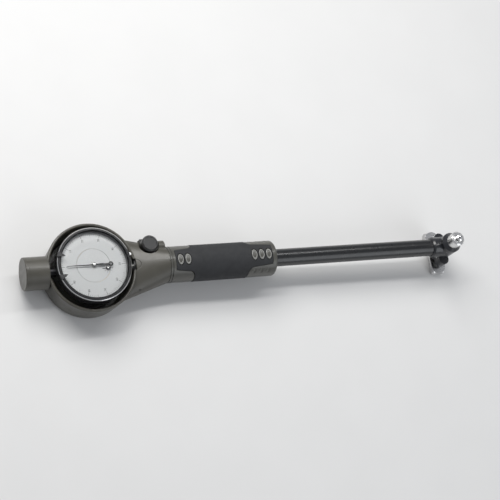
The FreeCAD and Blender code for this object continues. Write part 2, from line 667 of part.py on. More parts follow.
def make_tube():
    inner = "tube_radius - tube_wall"
    keep(turned("tube", [
        (inner, f"{TUBE_START} + fit"),
        ("tube_radius", f"{TUBE_START} + fit"),
        ("tube_radius", TUBE_END),
        (inner, TUBE_END),
    ], along="X"))
    rod_start = "spindle_end + contact_length + contact_gap"
    rod_end = f"{HEAD_X} - arm - ball_radius - contact_gap"
    keep(turned("transfer_rod", [
        ("0", rod_start),
        ("rod_head_radius", rod_start),
        ("rod_head_radius", f"{rod_start} + 4 * seam"),
        ("rod_radius", f"{rod_start} + 4 * seam"),
        ("rod_radius", "rod_collar_x"),
        ("rod_collar_radius", "rod_collar_x"),
        ("rod_collar_radius", "rod_collar_x + 6 * seam"),
        ("rod_radius", "rod_collar_x + 6 * seam"),
        ("rod_radius", rod_end),
        ("0", rod_end),
    ], along="X"))
    bushes = []
    for name, start in (("upper", "upper_bush_x"), ("lower", f"{TUBE_END} - lower_bush_back")):
        bushes.append(turned(f"{name}_bush", [
            ("rod_radius + running", start),
            (f"{inner} - fit", start),
            (f"{inner} - fit", f"{start} + bush_length"),
            ("rod_radius + running", f"{start} + bush_length"),
        ], along="X"))
    keep(group("rod_bushes", *bushes))
    coil = square_coil(size("spring_radius"), size("spring_wire"),
                       size("rod_collar_x - upper_bush_x - bush_length - 2 * fit"), size("spring_turns"))
    keep(computed("return_spring", coil,
                  ("upper_bush_x + bush_length + fit + spring_wire / 2", "0", "axis_height"), "X"))


# --- Measuring head ------------------------------------------------------------------------------

def on_head(offset="0", side="0"):
    return (f"{HEAD_X} + {offset}", side, "axis_height")


def wing_pair(label, radius, start, stop):
    """Cylinder at each guide screw."""
    return [
        rod(f"{label}_{side}", radius, start, stop, (HEAD_X, f"{sign} guide_screw_y"))
        for side, sign in (("left", "0 +"), ("right", "0 -"))
    ]


def make_head_body():
    barrel = turned("head_barrel", [
        ("0", "0 - head_bottom"),
        ("head_radius - seam", "0 - head_bottom"),
        ("head_radius", "seam - head_bottom"),
        ("head_radius", "head_top - 6 * seam"),
        ("nut_radius", "head_top"),
        ("anvil_spigot_radius", "head_top"),
        ("anvil_spigot_radius", "head_top + anvil_spigot"),
        ("0", "head_top + anvil_spigot"),
    ], on_head())
    socket_start = f"{HEAD_X} - socket_length"
    socket = turned("tube_socket", [
        ("0", socket_start),
        ("tube_radius + seam", socket_start),
        ("head_radius", f"{socket_start} + 3 * seam"),
        ("head_radius", HEAD_X),
        ("0", HEAD_X),
    ], along="X")
    wing_top = "wing_height - head_bottom + seam"
    wings = wing_pair("wing", "wing_radius", "seam - head_bottom", wing_top)
    web = block("wing_web", (f"{HEAD_X} - wing_radius", "0 - guide_screw_y", "seam - head_bottom"),
                (f"{HEAD_X} + wing_radius", "guide_screw_y", wing_top))
    blank = join("head_blank", barrel, socket, web, *wings)

    slot_half = "slot_width / 2"
    tube_bore = rod("tube_bore", "tube_radius + fit", f"{socket_start} - seam", f"{TUBE_END} + fit", along="X")
    rod_bore = rod("rod_bore", "rod_radius + 10 * running", f"{TUBE_END} - seam", f"{HEAD_X} - arm", along="X")
    crank_slot = block("crank_slot", (f"{TUBE_END} - seam", f"0 - {slot_half}", "0 - arm - 2 * ball_radius"),
                       (f"{HEAD_X} + ball_radius + 2 * seam", slot_half, "ball_radius + 2 * seam"))
    flange_room = rod("flange_room", "plunger_head_radius + 6 * running", "0 - bush_top - seam",
                      "2 * seam - arm + ball_radius", (HEAD_X, "0"))
    bush_bore = rod("bush_bore", "bush_radius + fit", "0 - head_bottom - seam", "0 - bush_top", (HEAD_X, "0"))
    anvil_bore = rod("anvil_bore", "anvil_radius + fit", "anvil_foot", "head_top + 2 * anvil_spigot",
                     (HEAD_X, "0"))
    pin_bore = rod("pin_bore", "crank_pin_radius + fit", "0 - 2 * head_radius", "2 * head_radius",
                   (f"{HEAD_X} - arm", "0 - arm"), "Y")
    pockets = wing_pair("spring_pocket", "guide_spring_radius + seam", "0 - head_bottom - seam",
                        "guide_spring_pocket_top")
    threads = wing_pair("guide_thread", "guide_screw_radius + fit", "0 - head_bottom",
                        f"{wing_top} - 2 * seam")
    keep(cut("head_body", blank, tube_bore, rod_bore, crank_slot, flange_room, bush_bore, anvil_bore,
             pin_bore, *pockets, *threads))
    keep(rod("crank_pin", "crank_pin_radius", "seam - head_radius", "head_radius - seam",
             (f"{HEAD_X} - arm", "0 - arm"), "Y"))


def make_bell_crank():
    """Right-angled lever: one end on the plunger, the other behind the rod."""
    half = "crank_thickness / 2"
    corner = (f"{HEAD_X} - arm", "0 - arm")
    hub = rod("crank_hub", "crank_hub_radius", f"0 - {half}", half, corner, "Y")
    ends = [
        rod("plunger_ball", "ball_radius", f"0 - {half}", half, (HEAD_X, "0 - arm"), "Y"),
        rod("rod_ball", "ball_radius", f"0 - {half}", half, (f"{HEAD_X} - arm", "0"), "Y"),
    ]
    wide = "crank_arm_width / 2"
    level = block("crank_level_arm", (corner[0], f"0 - {half}", f"0 - arm - {wide}"),
                  (HEAD_X, half, f"{wide} - arm"))
    upright = block("crank_upright_arm", (f"{corner[0]} - {wide}", f"0 - {half}", "0 - arm"),
                    (f"{corner[0]} + {wide}", half, "0"))
    bore = rod("crank_bore", "crank_pin_radius + running", f"0 - {half} - seam", f"{half} + seam", corner, "Y")
    keep(cut("bell_crank", join("crank_blank", hub, level, upright, *ends), bore))


def tip_outline(foot, way):
    """Carbide tip: a ball-ended button standing on its foot. way is 1 upwards and -1 downwards."""
    ball = "((tip_radius * tip_radius + tip_height * tip_height) / (2 * tip_height))"
    top = f"{foot} + tip_height" if way > 0 else f"{foot} - tip_height"
    return [("0", foot), ("tip_radius", foot), ("0", top, ball, way)]


def make_plunger():
    nose_top = "0 - arm - ball_radius - contact_gap"
    flange_foot = "contact_gap - bush_top"
    flange_top = f"{flange_foot} + plunger_head"
    foot = "0 - plunger_end"
    keep(turned("contact_plunger", [
        ("0", nose_top),
        ("0", foot),
        ("tip_radius", foot),
        ("plunger_radius", f"{foot} + seam"),
        ("plunger_radius", flange_foot),
        ("plunger_head_radius", flange_foot),
        ("plunger_head_radius", flange_top),
        ("plunger_radius - 2 * seam", flange_top),
        ("plunger_radius - 2 * seam", nose_top),
    ], on_head()))
    keep(turned("contact_tip", tip_outline(foot, -1), on_head()))
    keep(turned("plunger_bush", [
        ("plunger_radius + running", "0 - bush_top"),
        ("plunger_radius + running", "0 - head_bottom - bush_flange"),
        ("bush_flange_radius", "0 - head_bottom - bush_flange"),
        ("bush_flange_radius", "0 - head_bottom"),
        ("bush_radius", "0 - head_bottom"),
        ("bush_radius", "0 - bush_top"),
    ], on_head()))


def make_anvil():
    washer_foot = "head_top + anvil_spigot"
    shoulder = f"{washer_foot} + washer_thickness"
    neck = f"{shoulder} + anvil_shoulder"
    top = f"{neck} + anvil_neck"
    keep(turned("anvil", [
        ("0", "anvil_foot"),
        ("anvil_radius", "anvil_foot"),
        ("anvil_radius", shoulder),
        ("anvil_shoulder_radius", shoulder),
        ("anvil_shoulder_radius", neck),
        ("anvil_neck_radius", neck),
        ("anvil_neck_radius", f"{top} - seam"),
        ("tip_radius", top),
        ("0", top),
    ], on_head()))
    keep(turned("anvil_tip", tip_outline(top, 1), on_head()))
    keep(turned("anvil_washer", [
        ("anvil_radius + fit", washer_foot),
        ("anvil_spigot_radius", washer_foot),
        ("anvil_spigot_radius", shoulder),
        ("anvil_radius + fit", shoulder),
    ], on_head()))
    thread = "anvil_spigot_radius + running"
    roof = f"{neck} + contact_gap"
    keep(turned("anvil_nut", [
        (thread, "head_top + contact_gap"),
        ("nut_radius", "head_top + contact_gap"),
        ("nut_radius", f"{roof} + nut_roof - nut_chamfer"),
        ("nut_radius - nut_chamfer", f"{roof} + nut_roof"),
        ("anvil_neck_radius + 10 * running", f"{roof} + nut_roof"),
        ("anvil_neck_radius + 10 * running", roof),
        (thread, roof),
    ], on_head()))


def make_guide():
    plate_low = "0 - guide_top - guide_thickness"
    straight = "(guide_half_length - guide_half_width)"
    plate = prism("guide_plate", [
        ("guide_half_width", straight),
        ("0", "guide_half_length", "guide_half_width", 1),
        ("0 - guide_half_width", straight, "guide_half_width", 1),
        ("0 - guide_half_width", f"0 - {straight}"),
        ("0", "0 - guide_half_length", "guide_half_width", 1),
        ("guide_half_width", f"0 - {straight}", "guide_half_width", 1),
    ], "XY_Plane", "guide_thickness", (HEAD_X, "0", "axis_height - guide_top - guide_thickness / 2"))
    shoes = []
    for side, sign in (("left", "0 +"), ("right", "0 -")):
        centre = f"{sign} (guide_half_length - shoe_radius)"
        shoes.append(turned(f"shoe_{side}", [
            ("0", "seam - guide_half_width"),
            ("shoe_radius - 2 * seam", "seam - guide_half_width"),
            ("shoe_radius", "3 * seam - guide_half_width"),
            ("shoe_radius", "guide_half_width - 3 * seam"),
            ("shoe_radius - 2 * seam", "guide_half_width - seam"),
            ("0", "guide_half_width - seam"),
        ], (HEAD_X, centre, "axis_height - shoe_reach + shoe_radius"), "X"))
    centre_hole = rod("guide_hole", "guide_hole_radius", "0 - 2 * guide_top", "0", (HEAD_X, "0"))
    screw_holes = wing_pair("guide_screw_hole", "guide_screw_radius + running", "0 - 2 * guide_top", "0")
    keep(cut("centring_guide", join("guide_blank", plate, *shoes), centre_hole, *screw_holes))

    head_top = f"{plate_low} - contact_gap"
    thread_end = "wing_height - head_bottom - 2 * seam"
    screws = []
    springs = []
    spring_length = size("guide_spring_pocket_top + guide_top - 2 * fit")
    for side, sign in (("left", "0 +"), ("right", "0 -")):
        where = on_head("0", f"{sign} guide_screw_y")
        screws.append(turned(f"guide_screw_{side}", [
            ("0", f"{head_top} - guide_screw_head"),
            ("guide_screw_head_radius", f"{head_top} - guide_screw_head"),
            ("guide_screw_head_radius", head_top),
            ("guide_screw_radius", head_top),
            ("guide_screw_radius", thread_end),
            ("0", thread_end),
        ], where))
        coil = square_coil(size("guide_spring_radius"), size("guide_spring_wire"), spring_length,
                           size("guide_spring_turns"))
        springs.append(computed(f"guide_spring_{side}", coil,
                                (*where[:2], "axis_height - guide_top + fit + guide_spring_wire / 2")))
    keep(group("guide_screws", *screws))
    keep(group("guide_springs", *springs))


# --- Indicator -----------------------------------------------------------------------------------

def make_case():
    inner = "(case_radius - case_wall)"
    ledge = f"({inner} - 2 * seam)"
    ring = turned("case_ring", [
        (ledge, "0 - case_back"),
        ("case_radius", "0 - case_back"),
        ("case_radius", "case_top"),
        ("bezel_seat", "case_top"),
        ("bezel_seat", "case_top + seat_height"),
        (inner, "case_top + seat_height"),
        (inner, "lower_plate"),
        (ledge, "lower_plate"),
    ])
    stem_hole = rod("stem_hole", "stem_radius + fit", "0", "case_radius + seam", along="X")
    cap_hole = rod("cap_hole", "dust_cap_radius + fit", "0 - case_radius - seam", "0", along="X")
    middle = "(case_radius - case_wall / 2)"
    spots = [(f"{middle} * {cosine}", f"{middle} * {sine}") for cosine, sine in
             (("cos(45)", "sin(45)"), ("cos(135)", "sin(135)"), ("cos(225)", "sin(225)"), ("cos(315)", "sin(315)"))]
    holes = [rod(f"lid_thread_{index}", "lid_screw_radius", "0 - case_back - seam", "4 * seam - case_back", spot)
             for index, spot in enumerate(spots)]
    keep(cut("indicator_case", ring, stem_hole, cap_hole, *holes))

    back = "0 - case_back - lid_thickness"
    sink = f"{back} + lid_thickness / 2"
    lid = turned("lid_disc", [
        ("0", back),
        ("case_radius - seam", back),
        ("case_radius", f"{back} + seam"),
        ("case_radius", "0 - case_back"),
        (f"{ledge} - fit", "0 - case_back"),
        (f"{ledge} - fit", "3 * seam - case_back"),
        ("0", "3 * seam - case_back"),
    ])
    bores = [rod(f"lid_bore_{index}", "lid_screw_radius + fit", sink, "seam - case_back", spot)
             for index, spot in enumerate(spots)]
    sinks = [rod(f"lid_sink_{index}", "lid_screw_radius + seam + fit", f"{back} - seam", sink, spot)
             for index, spot in enumerate(spots)]
    keep(cut("indicator_lid", lid, *bores, *sinks))
    screws = [turned(f"lid_screw_{index}", [
        ("0", back),
        ("lid_screw_radius + seam", back),
        ("lid_screw_radius + seam", sink),
        ("lid_screw_radius", sink),
        ("lid_screw_radius", "4 * seam - case_back"),
        ("0", "4 * seam - case_back"),
    ], (*spot, "axis_height")) for index, spot in enumerate(spots)]
    keep(group("lid_screws", *screws))

    keep(turned("indicator_stem", [
        ("spindle_radius + running", f"{inner} + fit"),
        ("stem_radius", f"{inner} + fit"),
        ("stem_radius", "stem_end - seam"),
        ("stem_radius - seam", "stem_end"),
        ("spindle_radius + running", "stem_end"),
    ], along="X"))
    keep(turned("spindle_cap", [
        ("spindle_radius + running", f"0 - {inner} - fit"),
        ("spindle_radius + running", "4 * seam - dust_cap_end"),
        ("0", "4 * seam - dust_cap_end"),
        ("0", "0 - dust_cap_end"),
        ("dust_cap_radius - 2 * seam", "0 - dust_cap_end"),
        ("dust_cap_radius", "2 * seam - dust_cap_end"),
        ("dust_cap_radius", f"0 - {inner} - fit"),
    ], along="X"))


RACK_ARBOR_X = "(sqrt(pow(wheel_module * (wheel_teeth + centre_teeth) / 2; 2) - pow(rack_arbor_y; 2)))"


def toothed(teeth, module, phase, low, thickness, bore=0.0):
    """Wheel with pointed teeth, one of them at the phase angle in degrees, standing on the height low."""
    pitch_radius = module * teeth / 2
    root = pitch_radius - 1.1 * module
    tip = pitch_radius + 0.9 * module
    flank = 0.3 * 2 * math.pi / teeth
    corners = []
    for index in range(round(teeth)):
        middle = math.radians(phase) + index * 2 * math.pi / teeth
        for angle, radius in ((middle - flank, root), (middle, tip), (middle + flank, root)):
            corners.append(Vector(radius * math.cos(angle), radius * math.sin(angle), low))
    wheel = Part.Face(Part.makePolygon(corners + corners[:1])).extrude(Vector(0, 0, thickness))
    if bore:
        wheel = wheel.cut(Part.makeCylinder(bore, thickness, Vector(0, 0, low)))
    return wheel


def make_spindle():
    """Spindle with the rack milled into its side, and the contact point screwed into its end."""
    pinion_radius = size("rack_pitch * rack_teeth") / (2 * math.pi)
    module = 2 * pinion_radius / size("rack_teeth")
    pitch_line = pinion_radius - size("rack_arbor_y")
    root = pitch_line + 1.1 * module
    radius = size("spindle_radius")
    middle = size(RACK_ARBOR_X)
    pitch = size("rack_pitch")
    count = round(size("rack_half_count"))
    bar = Part.makeCylinder(radius, size("spindle_end + spindle_back"),
                            Vector(size("0 - spindle_back"), 0, 0), Vector(1, 0, 0))
    length = (2 * count + 1) * pitch
    flat = Part.makeBox(length, 2 * radius, 2 * radius,
                        Vector(middle - length / 2, root - 2 * radius, -radius))
    half = math.sqrt(radius**2 - root**2)
    spindle = bar.cut(flat)
    flank = 0.3 * pitch
    corners = [Vector(middle - (count + 0.5) * pitch, root + flank, -half)]
    for index in range(-count, count + 1):
        x = middle + index * pitch
        corners += [Vector(x - flank, root, -half), Vector(x, pitch_line - 0.9 * module, -half),
                    Vector(x + flank, root, -half)]
    corners.append(Vector(middle + (count + 0.5) * pitch, root + flank, -half))
    rack = Part.Face(Part.makePolygon(corners + corners[:1])).extrude(Vector(0, 0, 2 * half))
    spindle = spindle.fuse(rack.common(Part.makeCylinder(radius, length, Vector(middle - length / 2, 0, 0),
                                                         Vector(1, 0, 0)))).removeSplitter()
    keep(computed("indicator_spindle", spindle))
    end = "spindle_end + contact_length"
    keep(turned("contact_point", [
        ("0", "spindle_end"),
        ("contact_radius", "spindle_end"),
        ("contact_radius", f"{end} - 2 * contact_radius"),
        ("contact_radius / 2", f"{end} - contact_radius / 2"),
        ("0", end, "contact_radius / 2", 1),
    ], along="X"))


def make_movement():
    inner = "(case_radius - case_wall)"
    arbor_y = "0 - rack_arbor_y"
    lower_top = "lower_plate + plate_thickness"
    arbors = ((RACK_ARBOR_X, arbor_y), ("0", "0"), (f"0 - {RACK_ARBOR_X}", "rack_arbor_y"))

    def plate(label, radius, start):
        disc = rod(f"{label}_disc", radius, start, f"{start} + plate_thickness")
        holes = [rod(f"{label}_hole_{index}", "arbor_radius + running", f"{start} - seam",
                     f"{start} + plate_thickness + seam", spot) for index, spot in enumerate(arbors)]
        keep(cut(label, disc, *holes))

    plate("movement_plate_lower", f"{inner} - fit", "lower_plate")
    plate("movement_plate_upper", "upper_plate_radius", "upper_plate")
    pillar_at = "(upper_plate_radius - 7 * seam)"
    pillars = [rod(f"pillar_{index}", "3 * seam", lower_top, "upper_plate", (f"{x} * seam", f"{y} {pillar_at}"))
               for index, (x, y) in enumerate(((8, "0 +"), (-8, "0 +"), (8, "0 -"), (-8, "0 -")))]
    keep(group("movement_pillars", *pillars))

    module = size("wheel_module")
    wheel_teeth = size("wheel_teeth")
    centre_teeth = size("centre_teeth")
    rack_teeth = size("rack_teeth")
    thickness = size("wheel_thickness")
    arbor = size("arbor_radius")
    towards_centre = math.degrees(math.atan2(size("rack_arbor_y"), -size(RACK_ARBOR_X)))

    def arbor_between(low, high):
        return Part.makeCylinder(arbor, size(high) - size(low), Vector(0, 0, size(low)))

    rack_module = size("rack_pitch") / math.pi
    pinion_half = 2.6 * thickness
    pinion = toothed(rack_teeth, rack_module, 90 + 180 / rack_teeth, -pinion_half, 2 * pinion_half)
    pinion = pinion.fuse(arbor_between("0 - 3.2 * wheel_thickness", "face_height + 2 * seam"))
    at_rack = (RACK_ARBOR_X, arbor_y, "axis_height")
    keep(computed("rack_pinion", pinion, at_rack))
    rack_wheel = toothed(wheel_teeth, module, towards_centre, size(f"{lower_top} + seam"), thickness,
                         arbor + size("fit"))
    keep(computed("rack_wheel", rack_wheel, at_rack))

    low = size(f"{lower_top} + seam / 2")
    centre = toothed(centre_teeth, module, towards_centre + 180 / centre_teeth, low,
                     size("upper_plate - seam / 2") - low)
    centre = centre.fuse(arbor_between("lower_plate + contact_gap", "face_height + 4 * seam + hand_gap"))
    keep(computed("centre_pinion", centre))

    spring_wheel = toothed(wheel_teeth, module, towards_centre + 180,
                           size(f"{lower_top} + 2 * seam + wheel_thickness"), thickness)
    spring_wheel = spring_wheel.fuse(arbor_between("lower_plate + contact_gap", "upper_plate + plate_thickness"))
    keep(computed("hairspring_wheel", spring_wheel, (f"0 - {RACK_ARBOR_X}", "rack_arbor_y", "axis_height")))


def make_dial():
    face_low = "face_height - face_thickness"
    disc = rod("centre_disc", "centre_radius", face_low, "face_height")
    feet = [rod(f"dial_foot_{index}", "2 * seam", "upper_plate + plate_thickness", face_low,
                ("0", f"{sign} dial_foot_y")) for index, sign in enumerate(("0 +", "0 -"))]
    hub_hole = rod("hub_hole", "2 * arbor_radius", f"{face_low} - seam", "face_height + seam")
    counter_hole = rod("counter_hole", "2 * arbor_radius", f"{face_low} - seam", "face_height + seam",
                       (RACK_ARBOR_X, "0 - rack_arbor_y"))
    keep(cut("dial_centre", join("centre_blank", disc, *feet), hub_hole, counter_hole))
    keep(turned("scale_ring", [
        ("centre_radius + 5 * running", face_low),
        ("face_radius", face_low),
        ("face_radius", "face_height"),
        ("centre_radius + 5 * running", "face_height"),
    ]))
    inside = "face_radius + fit"
    ledge = "case_top + seat_height + 6 * contact_gap"
    keep(turned("bezel", [
        ("bezel_seat + running", "case_top + 4 * contact_gap"),
        ("bezel_radius", "case_top + 4 * contact_gap"),
        ("bezel_radius", "bezel_top - bezel_chamfer"),
        ("bezel_radius - bezel_chamfer", "bezel_top"),
        ("crystal_radius + fit", "bezel_top"),
        ("crystal_radius + fit", "crystal_height"),
        (inside, "crystal_height"),
        (inside, face_low),
        (f"{inside} - 2 * seam", face_low),
        (f"{inside} - 2 * seam", ledge),
        ("bezel_seat + running", ledge),
    ]))
    keep(turned("crystal", [
        ("0", "crystal_height"),
        ("crystal_radius", "crystal_height"),
        ("crystal_radius", "crystal_height + crystal_thickness - crystal_bevel"),
        ("crystal_radius - crystal_bevel", "crystal_height + crystal_thickness"),
        ("0", "crystal_height + crystal_thickness"),
    ]))


def hand(label, length, tail, width, low, at):
    """Hand with a hub pressed on its arbor, pointing to 12 o'clock, which is -X."""
    thickness = "seam"
    blade = prism(f"{label}_blade", [
        (f"0 - ({length})", f"0 - {width} / 6"),
        ("0", f"0 - {width} / 2"),
        (tail, f"0 - {width}"),
        (tail, width),
        ("0", f"{width} / 2"),
        (f"0 - ({length})", f"{width} / 6"),
    ], "XY_Plane", thickness, (*at, f"axis_height + {low} + {thickness} / 2"))
    hub = rod(f"{label}_hub", "3 * arbor_radius", low, f"{low} + 2 * seam", at)
    bore = rod(f"{label}_bore", "arbor_radius + fit", f"{low} - seam", f"{low} + 3 * seam", at)
    keep(cut(label, join(f"{label}_blank", blade, hub), bore))


def marker(side, sign):
    """Limit marker: a pointed clip over the bezel's edge."""
    low = "crystal_height + crystal_thickness + 2 * contact_gap"
    inner = "face_radius - 5 * seam"
    outer = "bezel_radius + 2 * contact_gap + seam"
    tab = prism(f"marker_{side}_tab", [
        (inner, "0"),
        (f"{inner} + 4 * seam", "0 - 2 * seam"),
        (outer, "0 - 4 * seam"),
        (outer, "4 * seam"),
        (f"{inner} + 4 * seam", "2 * seam"),
    ], "XY_Plane", "seam", ("0", "0", f"axis_height + {low} + seam / 2"))
    skirt = block(f"marker_{side}_skirt", ("bezel_radius + 2 * contact_gap", "0 - 4 * seam", "bezel_top - 3 * seam"),
                  (outer, "4 * seam", f"{low} + seam"))
    clip = join(f"limit_marker_{side}", tab, skirt)
    clip.setExpression("Placement.Rotation.Axis.z", "1")
    clip.setExpression("Placement.Rotation.Angle", ref(f"180 {sign} marker_angle"))
    keep(clip)


def make_bezel_clamp():
    """Small bracket on the case's side, with the thumb screw that holds the bezel."""
    screw_at = "bezel_radius + 3 * seam + contact_gap"
    bracket = block("clamp_bracket", ("case_radius + fit", "0 - 6 * seam", "case_top - 8 * seam"),
                    (f"{screw_at} + 2 * seam", "6 * seam", "case_top - seam / 2"))
    bracket_bore = rod("bracket_bore", "seam + running", "0", "2 * case_top", (screw_at, "0"))
    bracket_cut = cut("bezel_clamp", bracket, bracket_bore)
    bracket_cut.Placement.Rotation = Rotation(Vector(0, 0, 1), size("bezel_clamp_angle"))
    bracket_cut.setExpression("Placement.Rotation.Angle", ref("bezel_clamp_angle"))
    keep(bracket_cut)
    keep(turned("bezel_clamp_screw", [
        ("0", "case_top - 8 * seam"),
        ("seam", "case_top - 8 * seam"),
        ("seam", "case_top"),
        ("2.6 * seam", "case_top"),
        ("2.6 * seam", "case_top + 10 * seam"),
        ("2 * seam", "case_top + 11 * seam"),
        ("0", "case_top + 11 * seam"),
    ], (f"({screw_at}) * cos(bezel_clamp_angle)", f"({screw_at}) * sin(bezel_clamp_angle)", "axis_height")))


make_cover()
make_clamp()
make_grip()
make_tube()
make_head_body()
make_bell_crank()
make_plunger()
make_anvil()
make_guide()
make_case()
make_spindle()
make_movement()
make_dial()
hand("pointer", "pointer_length", "pointer_tail", "pointer_width", "face_height + 2 * seam + 2 * hand_gap", ("0", "0"))
hand("counter_hand", "pointer_width * 5", "pointer_width", "pointer_width / 2", "face_height + hand_gap",
     (RACK_ARBOR_X, "0 - rack_arbor_y"))
marker("left", "+")
marker("right", "-")
make_bezel_clamp()

doc.recompute()
for item in doc.Objects:
    if "Invalid" in item.State or "Error" in item.State:
        raise RuntimeError(f"{item.Label} failed: {item.State}")
os.makedirs("parts", exist_ok=True)
for item in EXPORTS:
    shape = item.Shape
    if shape.isNull() or not shape.isValid() or not shape.Solids:
        raise RuntimeError(f"{item.Label} has no valid solid")
    shape.exportStep(f"parts/{item.Label}.step")
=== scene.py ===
"""Looks of the dial bore gauge: materials, printed dial, knurling, floor, light and camera."""

import math

import bmesh
import bpy
from mathutils import Matrix, Vector


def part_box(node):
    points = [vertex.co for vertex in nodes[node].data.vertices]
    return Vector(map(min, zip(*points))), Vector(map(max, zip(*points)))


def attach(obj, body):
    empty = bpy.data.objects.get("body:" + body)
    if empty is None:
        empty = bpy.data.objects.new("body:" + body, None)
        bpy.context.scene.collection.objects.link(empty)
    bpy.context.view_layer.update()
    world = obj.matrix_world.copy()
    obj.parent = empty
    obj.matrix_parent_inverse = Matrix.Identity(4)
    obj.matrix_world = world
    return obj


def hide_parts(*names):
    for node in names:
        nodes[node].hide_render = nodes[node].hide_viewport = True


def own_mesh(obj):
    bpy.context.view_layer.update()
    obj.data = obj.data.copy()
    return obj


MM = 0.001

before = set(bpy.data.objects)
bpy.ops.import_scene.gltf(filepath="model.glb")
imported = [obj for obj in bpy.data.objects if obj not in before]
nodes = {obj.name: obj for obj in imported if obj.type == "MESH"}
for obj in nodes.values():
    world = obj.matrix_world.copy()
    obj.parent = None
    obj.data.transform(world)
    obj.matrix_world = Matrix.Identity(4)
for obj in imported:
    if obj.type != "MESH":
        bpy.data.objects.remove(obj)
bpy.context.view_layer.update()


# --- Sizes that the boxes of the nodes don't give; lengths are in millimetres ---------------------

PAD_PITCH = 6.1
PAD_HALF_LENGTH = 4.3
PAD_HALF_WIDTH = 2.4
FRONT_PAD = 8.5
REAR_PAD = 7.6
# Height of a pad's rim over the grip's round, at shares of the pad's half size
PAD_RIM = ((0.98, -0.1), (0.94, 0.22), (0.66, 0.22), (0.6, -0.1))
DIMPLE_ANGLE = math.radians(57)
DIMPLE_HALF_SIZES = (1.5, 2.6, 2.6)
BEZEL_CHAMFER = 1.2
BEZEL_EDGE = 0.5
KNURL_RIDGES = 150
KNURL_DEPTH = 0.14
PRINT = 0.02
LETTER_SIZE = 1.38  # size of the font over the height of its figures
BLADE = 0.5
TAIL_RING = 12.8
TAIL_RING_RADII = (1.8, 0.8)
TAIL_HALF_WIDTH = 0.6
NECK_LENGTH = 38.0
NECK_START_HALF_WIDTH = 25.5
NECK_START_HALF_HEIGHT = 9.65
NECK_START_DROP = 4.35
NECK_END_RADIUS = 14.1
CLAMP_OPENING = (34.3, 39.5)
COVER_BACK_EDGE = -29.6


def in_mm(box):
    """Lowest and highest corner of a box, from metres to millimetres."""
    low, high = box
    return low / MM, high / MM


def grip_round():
    """(radius of the grip's collars, height of the gauge's axis)."""
    low, high = in_mm(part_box("grip_core"))
    return (high.y - low.y) / 2, (high.z + low.z) / 2


def front_pads():
    """Places of the front pads along the grip."""
    start = in_mm(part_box("cover_front"))[1].x + FRONT_PAD
    return [start + step * PAD_PITCH for step in range(2)]


def rear_pads():
    """Places of the rear pads along the grip, from its end."""
    start = in_mm(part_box("grip_core"))[1].x - REAR_PAD
    return [start - step * PAD_PITCH for step in range(3)]


def dimple_places():
    """Centres of the dimples, three on each side, DIMPLE_ANGLE from the dial's normal."""
    radius, middle = grip_round()
    for x in rear_pads():
        for side in (1, -1):
            yield x, side * radius * math.sin(DIMPLE_ANGLE), middle + radius * math.cos(DIMPLE_ANGLE)


# --- Materials ------------------------------------------------------------------------------------


